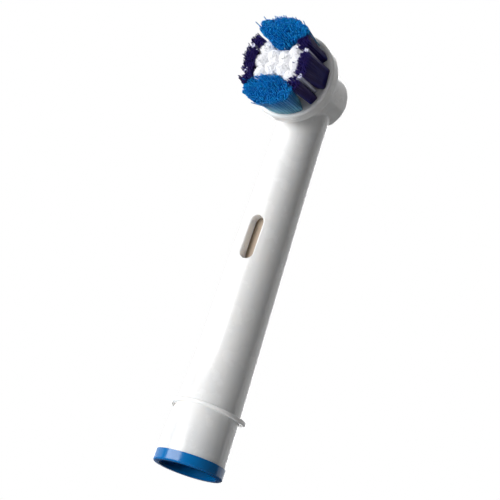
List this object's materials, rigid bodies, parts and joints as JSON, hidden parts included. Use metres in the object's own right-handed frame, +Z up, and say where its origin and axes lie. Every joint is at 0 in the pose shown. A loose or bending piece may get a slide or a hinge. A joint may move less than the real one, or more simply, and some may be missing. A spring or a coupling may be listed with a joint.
{
  "type": "electric toothbrush head",
  "caption": "Oscillating toothbrush head: white tapered neck with a blue foot ring and a round bristle plate that a twisting inner shaft turns to and fro.",
  "frame": {"origin": "centre of the colour ring's underside, where the head meets the handle", "axes": "+Z up the neck towards the brush plate, bristles face -Y, plate axis parallel to Y"},
  "size_m": [0.0164, 0.0249, 0.081],
  "materials": {
    "white_moulding": "gloss, faint satin on the plate",
    "blue_moulding": "gloss",
    "insert_moulding": "as moulded",
    "ivory_moulding": "as moulded",
    "bearing_plastic": "as moulded",
    "steel": "bright drawn",
    "blue_bristle": "nylon filament",
    "indigo_bristle": "nylon filament",
    "white_bristle": "nylon filament",
    "clear_bristle": "translucent nylon filament"
  },
  "bodies": {
    "neck": {"neck_tube": "white_moulding", "colour_ring": "blue_moulding", "socket_insert": "insert_moulding", "lower_bush": "bearing_plastic", "upper_bush": "bearing_plastic", "plate_axle": "steel", "slip_washer": "bearing_plastic"},
    "plate": {"bottom_tuft": "blue_bristle", "brush_plate": "white_moulding", "clear_left_lower_tuft": "clear_bristle", "clear_left_upper_tuft": "clear_bristle", "clear_right_lower_tuft": "clear_bristle", "clear_right_upper_tuft": "clear_bristle", "left_lower_tuft": "indigo_bristle", "left_middle_tuft": "indigo_bristle", "left_upper_tuft": "indigo_bristle", "right_lower_tuft": "indigo_bristle", "right_middle_tuft": "indigo_bristle", "right_upper_tuft": "indigo_bristle", "top_tuft": "blue_bristle", "tuft_anchors": "steel", "white_tuft_1": "white_bristle", "white_tuft_10": "white_bristle", "white_tuft_2": "white_bristle", "white_tuft_3": "white_bristle", "white_tuft_4": "white_bristle", "white_tuft_5": "white_bristle", "white_tuft_6": "white_bristle", "white_tuft_7": "white_bristle", "white_tuft_8": "white_bristle", "white_tuft_9": "white_bristle"},
    "rotor": {"drive_coupler": "ivory_moulding", "coupler_clip": "steel", "drive_shaft": "ivory_moulding", "crank_head": "ivory_moulding", "crank_pin": "steel"}
  },
  "joints": [
    {"name": "plate_turn", "type": "hinge", "parent": "neck", "child": "plate", "pos_m": [0, 0, 0.07285], "axis": [0, -1, 0], "range_deg": [-24, 16]},
    {"name": "drive_turn", "type": "hinge", "parent": "neck", "child": "rotor", "pos_m": [0, 0, 0.02], "axis": [0, 0, 1], "range_deg": [-35.5, 24.5]}
  ],
  "couplings": [
    {"joint": "drive_turn", "follows": "plate_turn", "ratio": 1.38}
  ]
}
